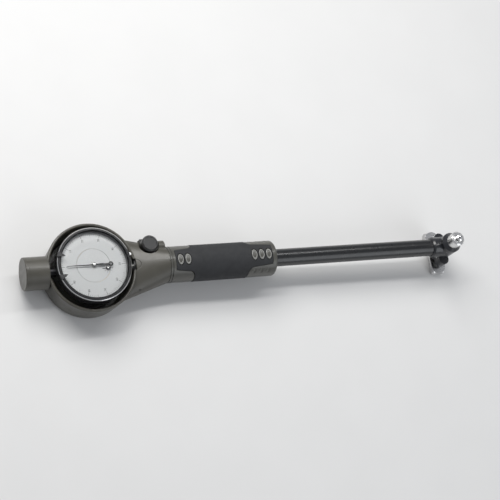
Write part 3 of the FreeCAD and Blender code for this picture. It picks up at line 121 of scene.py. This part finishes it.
class Look:
    """One material. Its coordinates are the piece's own, in millimetres."""

    def __init__(self, name, colour, roughness, metallic=0.0, **sockets):
        self.material = bpy.data.materials.new(name)
        self.material.use_nodes = True
        self.material.diffuse_color = (*colour, 1.0)
        self.tree = self.material.node_tree
        self.shader = self.tree.nodes["Principled BSDF"]
        self.colour = colour
        self.roughness = roughness
        self.shader.inputs["Base Color"].default_value = (*colour, 1.0)
        self.shader.inputs["Roughness"].default_value = roughness
        self.shader.inputs["Metallic"].default_value = metallic
        for socket, value in sockets.items():
            self.shader.inputs[socket.replace("_", " ")].default_value = value
        self.normal = None
        place = self.node("ShaderNodeTexCoord").outputs["Object"]
        self.place = self.vector("SCALE", place, Scale=1 / MM)

    def node(self, kind, inputs=(), **settings):
        made = self.tree.nodes.new(kind)
        for name, value in settings.items():
            setattr(made, name, value)
        for name, value in dict(inputs).items():
            if isinstance(value, bpy.types.NodeSocket):
                self.tree.links.new(value, made.inputs[name])
            else:
                made.inputs[name].default_value = value
        return made

    def vector(self, operation, first, second=None, **inputs):
        given = {0: first, **inputs}
        if second is not None:
            given[1] = second
        return self.node("ShaderNodeVectorMath", given, operation=operation).outputs["Vector"]

    def math(self, operation, first, second=None):
        given = {0: first} if second is None else {0: first, 1: second}
        return self.node("ShaderNodeMath", given, operation=operation).outputs[0]

    def spread(self, value, low, high, start=0.0, stop=1.0):
        """Map a value from start..stop to low..high."""
        given = {"Value": value, "From Min": start, "From Max": stop, "To Min": low, "To Max": high}
        return self.node("ShaderNodeMapRange", given).outputs["Result"]

    def noise(self, per_mm, detail=2.0, at=None):
        """Cloudy grain, at the piece's own coordinates unless others are given."""
        given = {"Vector": at or self.place, "Scale": per_mm, "Detail": detail}
        return self.node("ShaderNodeTexNoise", given).outputs["Fac"]

    def cells(self, per_mm):
        """Small pits, like those of moulded rubber."""
        return self.node("ShaderNodeTexVoronoi", {"Vector": self.place, "Scale": per_mm}).outputs["Distance"]

    def mixed(self, factor, first, second):
        given = {"Factor": factor, "A": (*first, 1.0), "B": (*second, 1.0)}
        mix = self.node("ShaderNodeMix", data_type="RGBA")
        for name, value in given.items():
            socket = next(s for s in mix.inputs if s.name == name and s.enabled)
            if isinstance(value, bpy.types.NodeSocket):
                self.tree.links.new(value, socket)
            else:
                socket.default_value = value
        return next(s for s in mix.outputs if s.enabled)

    def link(self, socket, value):
        self.tree.links.new(value, self.shader.inputs[socket])
        return self

    def round_edges(self, radius):
        """Edges catch the light as if they were rounded by radius."""
        bevel = self.node("ShaderNodeBevel", {"Radius": radius * MM}, samples=4)
        self.normal = bevel.outputs["Normal"]
        return self.link("Normal", self.normal)

    def bump(self, height, depth, strength=1.0):
        """Relief of the given depth in millimetres."""
        given = {"Height": height, "Distance": depth * MM, "Strength": strength}
        if self.normal is not None:
            given["Normal"] = self.normal
        self.normal = self.node("ShaderNodeBump", given).outputs["Normal"]
        return self.link("Normal", self.normal)

    def uneven(self, colour_range, roughness_range, per_mm):
        """Colour and gloss vary a little from place to place."""
        tone = self.noise(per_mm, 4.0)
        dark = tuple(c * (1 - colour_range) for c in self.colour)
        light = tuple(min(c * (1 + colour_range), 1.0) for c in self.colour)
        self.link("Base Color", self.mixed(self.spread(tone, 0.0, 1.0, 0.3, 0.7), dark, light))
        gloss = self.noise(per_mm * 2.3, 3.0, self.vector("ADD", self.place, (37.0, 11.0, 5.0)))
        return self.link("Roughness", self.spread(gloss, self.roughness - roughness_range,
                                                  self.roughness + roughness_range, 0.3, 0.7))

    def around(self, centre, axis):
        """(distance from an axis, height along it) of each point, in millimetres."""
        local = self.vector("SUBTRACT", self.place, tuple(centre))
        split = self.node("ShaderNodeSeparateXYZ", {"Vector": local}).outputs
        along = split["XYZ".index(axis)]
        across = [split[i] for i in range(3) if i != "XYZ".index(axis)]
        squares = [self.math("MULTIPLY", value, value) for value in across]
        radius = self.math("SQRT", self.math("ADD", *squares))
        return radius, along

    def turned(self, centre, axis, depth, per_mm=9.0):
        """Fine marks of the lathe round an axis."""
        radius, along = self.around(centre, axis)
        rings = self.node("ShaderNodeCombineXYZ", {"X": radius, "Y": along, "Z": 0.0}).outputs["Vector"]
        marks = self.noise(per_mm, 2.0, rings)
        self.link("Roughness", self.spread(marks, self.roughness * 0.75, self.roughness * 1.3, 0.3, 0.7))
        return self.bump(marks, depth)


def plastic(name, colour, roughness=0.38):
    look = Look(name, colour, roughness, Coat_Weight=0.15, Coat_Roughness=0.2)
    look.uneven(0.07, 0.05, 0.09).round_edges(0.4)
    return look.bump(look.noise(2.4, 3.0), 0.025)


def rubber(name, colour):
    look = Look(name, colour, 0.72, Specular_IOR_Level=0.35)
    look.uneven(0.1, 0.06, 0.12).round_edges(0.35)
    return look.bump(look.cells(1.8), 0.05, 0.7)


def paint(name, colour, roughness, peel=0.008):
    look = Look(name, colour, roughness, Coat_Weight=0.25, Coat_Roughness=0.18)
    look.uneven(0.12, 0.05, 0.06).round_edges(0.2)
    return look.bump(look.noise(0.9, 2.0), peel)


def metal(name, colour, roughness, centre, axis, depth=0.004):
    look = Look(name, colour, roughness, metallic=1.0)
    look.round_edges(0.12)
    return look.turned(centre, axis, depth)


def sheet_metal(name, colour, roughness):
    look = Look(name, colour, roughness, metallic=1.0)
    look.round_edges(0.12)
    stretched = look.vector("MULTIPLY", look.place, (0.25, 6.0, 6.0))
    grain = look.noise(1.0, 3.0, stretched)
    look.link("Roughness", look.spread(grain, roughness * 0.8, roughness * 1.25, 0.3, 0.7))
    return look.bump(grain, 0.004)


def glass(name):
    """Clear lens: reflections by angle over what lies behind, so that the dial stays lit."""
    look = Look(name, (0.9, 0.93, 0.95), 0.03)
    clear = look.node("ShaderNodeBsdfTransparent", {"Color": (0.99, 0.995, 0.992, 1.0)})
    gloss = look.node("ShaderNodeBsdfGlossy", {"Color": (1.0, 1.0, 1.0, 1.0), "Roughness": 0.02})
    ripple = look.node("ShaderNodeBump", {"Height": look.noise(0.05, 1.0), "Distance": 0.02 * MM})
    look.tree.links.new(ripple.outputs["Normal"], gloss.inputs["Normal"])
    angle = look.node("ShaderNodeFresnel", {"IOR": 1.49}).outputs["Fac"]
    mix = look.node("ShaderNodeMixShader", {0: angle})
    look.tree.links.new(clear.outputs[0], mix.inputs[1])
    look.tree.links.new(gloss.outputs[0], mix.inputs[2])
    output = look.tree.nodes["Material Output"]
    look.tree.links.new(mix.outputs[0], output.inputs["Surface"])
    look.tree.nodes.remove(look.shader)
    return look


def wear(piece, look):
    """Give a piece this one material."""
    if isinstance(piece, str):
        piece = nodes[piece]
    if not piece.material_slots:
        piece.data.materials.append(look.material)
    for holder in piece.material_slots:
        holder.material = look.material


def centre_of(name):
    low, high = in_mm(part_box(name))
    return tuple((low + high) / 2)


COVER = (0.058, 0.055, 0.045)
STEEL = (0.62, 0.62, 0.61)
BRIGHT = (0.80, 0.80, 0.79)
ALUMINIUM = (0.66, 0.67, 0.68)
BRASS = (0.72, 0.52, 0.21)

cover_look = plastic("moulded_cover", COVER)
for name in ("cover_front", "cover_back", "cap_plug"):
    wear(name, cover_look)
wear("grip_sleeve", rubber("grip_rubber", (0.023, 0.024, 0.026)))
wear("tube", paint("tube_black", (0.007, 0.0075, 0.0085), 0.3))
wear("head_body", paint("head_black", (0.012, 0.013, 0.016), 0.28))
wear("clamp_knob", plastic("knob_plastic", (0.022, 0.022, 0.022), 0.4))


def grip_finish():
    """The core's plastic, with three finger dimples pressed into each rear tongue."""
    look = Look("grip_plastic", (0.062, 0.061, 0.053), 0.36, Coat_Weight=0.15, Coat_Roughness=0.2)
    look.uneven(0.07, 0.05, 0.09).round_edges(0.35)
    look.bump(look.noise(2.4, 3.0), 0.025)
    hollow = None
    for x, y, z in dimple_places():
        local = look.vector("SUBTRACT", look.place, (x, y, z))
        shrunk = look.vector("MULTIPLY", local, tuple(1 / size for size in DIMPLE_HALF_SIZES))
        away = look.node("ShaderNodeVectorMath", {0: shrunk}, operation="LENGTH").outputs["Value"]
        hollow = away if hollow is None else look.math("MINIMUM", hollow, away)
    return look.bump(look.spread(hollow, 0.0, 1.0, 0.25, 1.1), 0.7)


wear("grip_core", grip_finish())

gauge_axis = (0.0, 0.0, centre_of("tube")[2])
dial_axis = (0.0, 0.0, 0.0)
for name, colour, roughness in (
    ("stem_clamp", (0.05, 0.05, 0.05), 0.4),
    ("transfer_rod", STEEL, 0.25),
    ("rod_bushes", BRASS, 0.3),
    ("indicator_stem", BRIGHT, 0.2),
    # Painted shade: the spindle cap gets a near-black metal colour so that it stays as dark as the shaded
    # gap between the indicator and the cover.
    ("spindle_cap", (0.06, 0.06, 0.065), 0.35),
    ("indicator_spindle", STEEL, 0.22),
    ("contact_point", STEEL, 0.22),
    ("return_spring", STEEL, 0.3),
):
    wear(name, metal(name + "_metal", colour, roughness, gauge_axis, "X"))
for name, colour, roughness in (
    ("indicator_case", ALUMINIUM, 0.34),
    ("indicator_lid", ALUMINIUM, 0.34),
    ("movement_plate_lower", BRASS, 0.32),
    ("movement_plate_upper", BRASS, 0.32),
):
    wear(name, metal(name + "_metal", colour, roughness, dial_axis, "Z"))
for name, colour, roughness in (
    ("clamp_screw", STEEL, 0.3),
    ("contact_plunger", STEEL, 0.2),
    ("contact_tip", (0.36, 0.36, 0.37), 0.12),
    ("plunger_bush", STEEL, 0.3),
    ("anvil", BRIGHT, 0.2),
    ("anvil_tip", (0.36, 0.36, 0.37), 0.12),
    ("anvil_nut", BRIGHT, 0.22),
    ("anvil_washer", STEEL, 0.3),
    ("rack_pinion", STEEL, 0.28),
    ("rack_wheel", BRASS, 0.28),
    ("centre_pinion", STEEL, 0.28),
    ("hairspring_wheel", BRASS, 0.28),
    ("bezel_clamp_screw", BRIGHT, 0.25),
):
    wear(name, metal(name + "_metal", colour, roughness, centre_of(name), "Z"))
for name, colour, roughness in (
    ("bell_crank", STEEL, 0.3),
    ("crank_pin", STEEL, 0.2),
    ("centring_guide", (0.6, 0.6, 0.6), 0.27),
    ("guide_screws", STEEL, 0.3),
    ("guide_springs", STEEL, 0.3),
    ("cover_screws", (0.08, 0.08, 0.08), 0.4),
    ("lid_screws", STEEL, 0.3),
    ("movement_pillars", BRASS, 0.3),
    ("bezel_clamp", ALUMINIUM, 0.34),
):
    wear(name, sheet_metal(name + "_metal", colour, roughness))

ink = paint("ink_black", (0.012, 0.012, 0.013), 0.4, 0.002)
for name in ("pointer", "counter_hand", "limit_marker_left", "limit_marker_right"):
    wear(name, ink)


def dial_plate():
    """Silvered plate with a fine brushed grain across it."""
    look = Look("dial_silver", (0.72, 0.72, 0.725), 0.45, metallic=0.1)
    stretched = look.vector("MULTIPLY", look.place, (0.35, 5.0, 1.0))
    grain = look.noise(1.0, 4.0, stretched)
    light = tuple(c * 1.04 for c in look.colour)
    dark = tuple(c * 0.95 for c in look.colour)
    look.link("Base Color", look.mixed(look.spread(grain, 0.0, 1.0, 0.3, 0.7), dark, light))
    look.link("Roughness", look.spread(grain, 0.36, 0.5, 0.3, 0.7))
    return look.bump(grain, 0.003)


silver = dial_plate()
wear("scale_ring", silver)
wear("dial_centre", silver)


def bezel_finish():
    """Black ring whose outer turned edge is bare metal."""
    high = in_mm(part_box("bezel"))[1]
    look = Look("bezel_black", (0.016, 0.016, 0.017), 0.24)
    radius, along = look.around((0, 0, 0), "Z")
    slope = look.math("ADD", radius, along)
    brink = high.x + high.z - BEZEL_CHAMFER
    bare = look.math("MULTIPLY", look.math("GREATER_THAN", slope, brink - BEZEL_EDGE),
                     look.math("GREATER_THAN", radius, high.x - BEZEL_EDGE))
    look.link("Base Color", look.mixed(bare, look.colour, BRIGHT))
    look.link("Metallic", bare)
    look.round_edges(0.12)
    rings = look.node("ShaderNodeCombineXYZ", {"X": radius, "Y": along, "Z": 0.0}).outputs["Vector"]
    return look.bump(look.noise(8.0, 2.0, rings), 0.003)


bezel_look = bezel_finish()
wear("bezel", bezel_look)
wear("crystal", glass("crystal_glass"))


# --- Pieces that the CAD leaves to the scene ------------------------------------------------------


def piece(name, mesh, body, look, smooth=False):
    mesh.name = name
    made = bpy.data.objects.new(name, mesh)
    bpy.context.scene.collection.objects.link(made)
    if smooth:
        for face in mesh.polygons:
            face.use_smooth = True
    wear(made, look)
    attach(made, body)
    return made


def mesh_of(shape):
    mesh = bpy.data.meshes.new("mesh")
    shape.to_mesh(mesh)
    shape.free()
    return mesh


def closed_mesh(shape):
    """Mesh of a closed shape, with its faces turned outwards."""
    bmesh.ops.recalc_face_normals(shape, faces=shape.faces)
    return mesh_of(shape)


def band(shape, first, second):
    """Faces between two loops of as many vertices."""
    count = len(first)
    for step in range(count):
        after = (step + 1) % count
        shape.faces.new((first[step], first[after], second[after], second[step]))


def clockwise(turns):
    """Direction on the dial, 12 o'clock at -X, turning clockwise seen from above."""
    angle = 2 * math.pi * turns
    return Vector((-math.cos(angle), math.sin(angle), 0.0))


def scale_marks(centre, face, marks):
    """Printed lines: marks holds (turns, inner radius, outer radius, width) in millimetres."""
    shape = bmesh.new()
    ink_height = Vector((0.0, 0.0, PRINT * MM))
    for turns, inner, outer, width in marks:
        way = clockwise(turns)
        side = Vector((-way.y, way.x, 0.0)) * width / 2 * MM
        base = [centre + way * inner * MM - side, centre + way * outer * MM - side,
                centre + way * outer * MM + side, centre + way * inner * MM + side]
        for corner in base:
            corner.z = face
        low = [shape.verts.new(corner) for corner in base]
        high = [shape.verts.new(corner + ink_height) for corner in base]
        shape.faces.new(high[::-1])
        shape.faces.new(low)
        for i in range(4):
            shape.faces.new((low[i], high[i], high[(i + 1) % 4], low[(i + 1) % 4])[::-1])
    return closed_mesh(shape)


def numerals(words, face, radius, height):
    """Upright numbers round the dial, as one mesh."""
    whole = bmesh.new()
    upright = Matrix(((0, -1, 0), (1, 0, 0), (0, 0, 1))).to_4x4()
    for turns, text in words:
        curve = bpy.data.curves.new("numeral", "FONT")
        curve.body = text
        curve.size = height * MM * LETTER_SIZE
        curve.align_x = "CENTER"
        curve.align_y = "CENTER"
        curve.extrude = 0.01 * MM
        curve.resolution_u = 3
        holder = bpy.data.objects.new("numeral", curve)
        bpy.context.scene.collection.objects.link(holder)
        bpy.context.view_layer.update()
        made = holder.evaluated_get(bpy.context.evaluated_depsgraph_get())
        mesh = bpy.data.meshes.new_from_object(made)
        bpy.data.objects.remove(holder)
        at = clockwise(turns) * radius * MM
        at.z = face + 0.01 * MM
        mesh.transform(Matrix.Translation(at) @ upright)
        whole.from_mesh(mesh)
        bpy.data.meshes.remove(mesh)
    return mesh_of(whole)


def mark_size(index):
    """Length and width of a graduation, longer at each fifth and tenth."""
    if index % 10 == 0:
        return 3.0, 0.24
    if index % 5 == 0:
        return 2.3, 0.16
    return 1.6, 0.1


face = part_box("scale_ring")[1].z
edge = in_mm(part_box("scale_ring"))[1].x - 0.5
divisions = 100
marks = []
for index in range(divisions):
    length, width = mark_size(index)
    marks.append((index / divisions, edge - length, edge, width))
centre = Vector((0.0, 0.0, 0.0))
piece("dial_graduation", scale_marks(centre, face, marks), "bezel", ink)
words = [(value / divisions, str(value)) for value in range(0, divisions, 10)]
piece("dial_numerals", numerals(words, face, edge - 4.7, 1.7), "bezel", ink)

counter = Vector(centre_of("rack_wheel")) * MM
small = []
for index in range(10):
    outer, width = (3.5, 0.16) if index % 5 else (3.9, 0.26)
    small.append((index / 10, 2.6, outer, width))
piece("counter_scale", scale_marks(counter, face, small), "frame", ink)


def knurled_band(low, high, radius, ridges, depth):
    """Straight knurl round the bezel: a thin sleeve with one ridge per step."""
    shape = bmesh.new()
    soft = 0.25 * MM
    inside = radius - 0.3 * MM
    levels = ((low, 0.0), (low + soft, 1.0), (high - soft, 1.0), (high, 0.0))
    rings = []
    for height, share in levels:
        ring = []
        for step in range(2 * ridges):
            angle = math.pi * step / ridges
            out = radius + (depth * share if step % 2 else 0.0)
            ring.append(shape.verts.new((out * math.cos(angle), out * math.sin(angle), height)))
        rings.append(ring)
    for height in (high, low):
        ring = []
        for step in range(2 * ridges):
            angle = math.pi * step / ridges
            ring.append(shape.verts.new((inside * math.cos(angle), inside * math.sin(angle), height)))
        rings.append(ring)
    for first, second in zip(rings, rings[1:] + rings[:1]):
        band(shape, first, second)
    return closed_mesh(shape)


bezel_low, bezel_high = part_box("bezel")
knurl = knurled_band(bezel_low.z + 0.8 * MM, bezel_high.z - 2.2 * MM, bezel_high.x, KNURL_RIDGES,
                     KNURL_DEPTH * MM)
piece("bezel_knurl", knurl, "bezel", bezel_look)


def solid_of(name, corners, low, high, body, look, hole=()):
    """Flat plate of the given outline, in millimetres, between two heights."""
    shape = bmesh.new()
    rings = []
    for height in (low, high):
        for line in (corners, hole):
            rings.append([shape.verts.new((x * MM, y * MM, height * MM)) for x, y in line])
    low_out, low_in, high_out, high_in = rings
    for lower, upper in ((low_out, high_out), (low_in, high_in)):
        band(shape, lower, upper)
    for outer, inner in ((low_out, low_in), (high_out, high_in)):
        if inner:
            band(shape, outer, inner)
        else:
            shape.faces.new(outer)
    return piece(name, closed_mesh(shape), body, look)


def round_line(x, y, radius, steps=40):
    """Points of a circle."""
    turns = [2 * math.pi * step / steps for step in range(steps)]
    return [(x + radius * math.cos(turn), y + radius * math.sin(turn)) for turn in turns]


# The pointer's tail runs on to a small ring, and both hands have a bright cap on their hub.
hand_low, hand_high = in_mm(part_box("pointer"))
blade_top = hand_low.z + BLADE
bar_start, bar_end = hand_high.x - 0.2, TAIL_RING - 1.5
bar = [(bar_start, -TAIL_HALF_WIDTH), (bar_end, -TAIL_HALF_WIDTH),
       (bar_end, TAIL_HALF_WIDTH), (bar_start, TAIL_HALF_WIDTH)]
solid_of("pointer_tail_bar", bar, hand_low.z + 0.01, blade_top - 0.01, "centre_arbor", ink)
ring_line, ring_hole = (round_line(TAIL_RING, 0, radius) for radius in TAIL_RING_RADII)
solid_of("pointer_tail_ring", ring_line, hand_low.z, blade_top, "centre_arbor", ink, ring_hole)


def dome(name, x, y, foot, radius, height, body, look):
    """Low round cap, turned from an arc."""
    shape = bmesh.new()
    bmesh.ops.create_uvsphere(shape, u_segments=32, v_segments=16, radius=1.0)
    below = [vertex for vertex in shape.verts if vertex.co.z < -1e-6]
    bmesh.ops.delete(shape, geom=below, context="VERTS")
    rim = [side for side in shape.edges if side.is_boundary]
    bmesh.ops.contextual_create(shape, geom=rim)
    for vertex in shape.verts:
        spot = vertex.co
        vertex.co = Vector((x + spot.x * radius, y + spot.y * radius, foot + spot.z * height)) * MM
    return piece(name, mesh_of(shape), body, look, smooth=True)


cap_look = metal("hub_bright", BRIGHT, 0.16, (0, 0, 0), "Z")
dome("pointer_cap", 0.0, 0.0, hand_high.z, 1.35, 0.3, "centre_arbor", cap_look)
counter_x, counter_y = centre_of("rack_wheel")[:2]
counter_top = in_mm(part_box("counter_hand"))[1].z
dome("counter_cap", counter_x, counter_y, counter_top, 0.9, 0.2, "rack_arbor", cap_look)


def pad_rims():
    """Raised oval rims on the ten pads of the grip, following its round."""
    radius, middle = grip_round()
    shape = bmesh.new()
    steps = 36
    for x in front_pads() + rear_pads():
        for way in (1, -1):
            rings = []
            for share, rise in PAD_RIM:
                ring = []
                for step in range(steps):
                    angle = 2 * math.pi * step / steps
                    along = x + PAD_HALF_WIDTH * share * math.cos(angle)
                    across = PAD_HALF_LENGTH * share * math.sin(angle)
                    up = math.sqrt(radius**2 - across**2) + rise
                    ring.append(shape.verts.new((along * MM, across * MM, (middle + way * up) * MM)))
                rings.append(ring)
            for first, second in zip(rings, rings[1:] + rings[:1]):
                band(shape, first, second)
    return closed_mesh(shape)


piece("grip_pad_rims", pad_rims(), "frame", plastic("pad_plastic", (0.2, 0.2, 0.19), 0.3), smooth=True)


def knob_rim():
    """Raised rim round the clamp knob's face."""
    low, high = in_mm(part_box("clamp_knob"))
    x, y = (low.x + high.x) / 2, (low.y + high.y) / 2
    outer = (high.x - low.x) / 2 - 1.05
    look = plastic("knob_rim_plastic", (0.03, 0.03, 0.03), 0.3)
    hole = round_line(x, y, outer - 0.6, 64)
    return solid_of("clamp_knob_rim", round_line(x, y, outer, 64), high.z - 0.05, high.z + 0.3, "clamp_knob",
                    look, hole)


knob_rim()


def neck_surface(x, turn, neck_end):
    """Point of the neck's skin: it runs straight from an ellipse at the ring to a circle at the grip."""
    share = (x - neck_end) / NECK_LENGTH + 1
    axis = gauge_axis[2]
    half_width = NECK_START_HALF_WIDTH * (1 - share) + NECK_END_RADIUS * share
    start = axis - NECK_START_DROP + NECK_START_HALF_HEIGHT * math.sin(turn)
    end = axis + NECK_END_RADIUS * math.sin(turn)
    return Vector((x, half_width * math.cos(turn), start * (1 - share) + end * share))


def boundary(sheet):
    """Vertices round the edge of a grid, in order."""
    far = [row[-1] for row in sheet[1:]]
    near = [row[0] for row in sheet[-2:0:-1]]
    return sheet[0] + far + sheet[-1][-2::-1] + near


def neck_crown():
    """Thin skin over the crown of the neck, where the bore of the stem clamp breaks through."""
    neck_end = in_mm(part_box("cover_front"))[1].x
    start, stop = CLAMP_OPENING
    columns, steps = 8, 12
    shape = bmesh.new()
    sheets = []
    for depth in (0.02, 0.22):
        sheet = []
        for column in range(columns + 1):
            x = start + (stop - start) * column / columns
            row = []
            for step in range(steps + 1):
                spot = neck_surface(x, math.radians(90 + (step - steps / 2) * 4.5), neck_end)
                row.append(shape.verts.new((spot - Vector((0, 0, depth))) * MM))
            sheet.append(row)
        sheets.append(sheet)
    for sheet in sheets:
        for first, second in zip(sheet, sheet[1:]):
            for step in range(steps):
                shape.faces.new((first[step], first[step + 1], second[step + 1], second[step]))
    outline, below = (boundary(sheet) for sheet in sheets)
    band(shape, outline, below)
    return closed_mesh(shape)


piece("neck_crown", neck_crown(), "frame", cover_look, smooth=True)


def live_spring(node):
    """A spring shown by a copy of the solid's own form, attached to the frame in place of the node."""
    look = metal(node + "_wire", STEEL, 0.3, gauge_axis, "X")
    coil = piece(node + "_coil", nodes[node].data.copy(), "frame", look)
    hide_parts(node)
    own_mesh(coil)


live_spring("return_spring")
live_spring("guide_springs")


# --- Floor, light and camera ----------------------------------------------------------------------

# The gauge rests on the edge of the cover's back and on the shoes of the guide.
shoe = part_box("centring_guide")
back_edge = COVER_BACK_EDGE * MM
slope = math.atan2(-shoe[0].z, shoe[0].x / 2 + shoe[1].x / 2 - back_edge)
floor_mesh = bpy.data.meshes.new("floor")
reach = 6.0
floor_mesh.from_pydata([(-reach, -reach, 0), (reach, -reach, 0), (reach, reach, 0), (-reach, reach, 0)],
                       [], [(0, 1, 2, 3)])
floor = bpy.data.objects.new("floor", floor_mesh)
bpy.context.scene.collection.objects.link(floor)
floor.matrix_world = Matrix.Translation((back_edge, 0, -0.05 * MM)) @ Matrix.Rotation(slope, 4, "Y")
paper = Look("floor_paper", (0.66, 0.66, 0.655), 0.8)
paper.uneven(0.01, 0.05, 0.02)
floor.data.materials.append(paper.material)

world = bpy.data.worlds.new("studio")
bpy.context.scene.world = world
world.use_nodes = True
sky = world.node_tree.nodes["Background"]
sky.inputs["Color"].default_value = (0.93, 0.95, 1.0, 1.0)
sky.inputs["Strength"].default_value = 0.36
bpy.context.scene.view_settings.view_transform = "Standard"


def soft_light(name, at, towards, width, height, power, colour=(1.0, 1.0, 1.0)):
    lamp = bpy.data.lights.new(name, "AREA")
    lamp.shape = "RECTANGLE"
    lamp.size = width
    lamp.size_y = height
    lamp.energy = power
    lamp.color = colour
    holder = bpy.data.objects.new(name, lamp)
    bpy.context.scene.collection.objects.link(holder)
    holder.location = at
    holder.rotation_euler = (Vector(towards) - Vector(at)).to_track_quat("-Z", "Y").to_euler()


middle = (0.13, 0.0, 0.01)
soft_light("key", (-0.25, 0.75, 0.85), middle, 0.9, 0.5, 10.0, (1.0, 0.985, 0.96))
soft_light("fill", (0.7, -0.8, 0.6), middle, 0.8, 0.8, 3.5, (0.94, 0.97, 1.0))
soft_light("strip", (0.1, 0.35, 0.7), middle, 1.1, 0.06, 3.0)

CAMERA_PLACE = (-0.2714, -0.2544, 0.9125)  # metres
CAMERA_FORWARD = (0.398, 0.258, -0.880)
CAMERA_RIGHT = (0.915, -0.172, 0.364)
LENS = 92.0  # millimetres

camera_data = bpy.data.cameras.new("camera")
camera = bpy.data.objects.new("camera", camera_data)
bpy.context.scene.collection.objects.link(camera)
forward = Vector(CAMERA_FORWARD).normalized()
right = Vector(CAMERA_RIGHT)
right = (right - forward * right.dot(forward)).normalized()
up = right.cross(forward)
turn = Matrix((right, up, -forward)).transposed().to_4x4()
camera.matrix_world = Matrix.Translation(CAMERA_PLACE) @ turn
camera_data.sensor_width = 36.0
camera_data.lens = LENS
bpy.context.scene.camera = camera
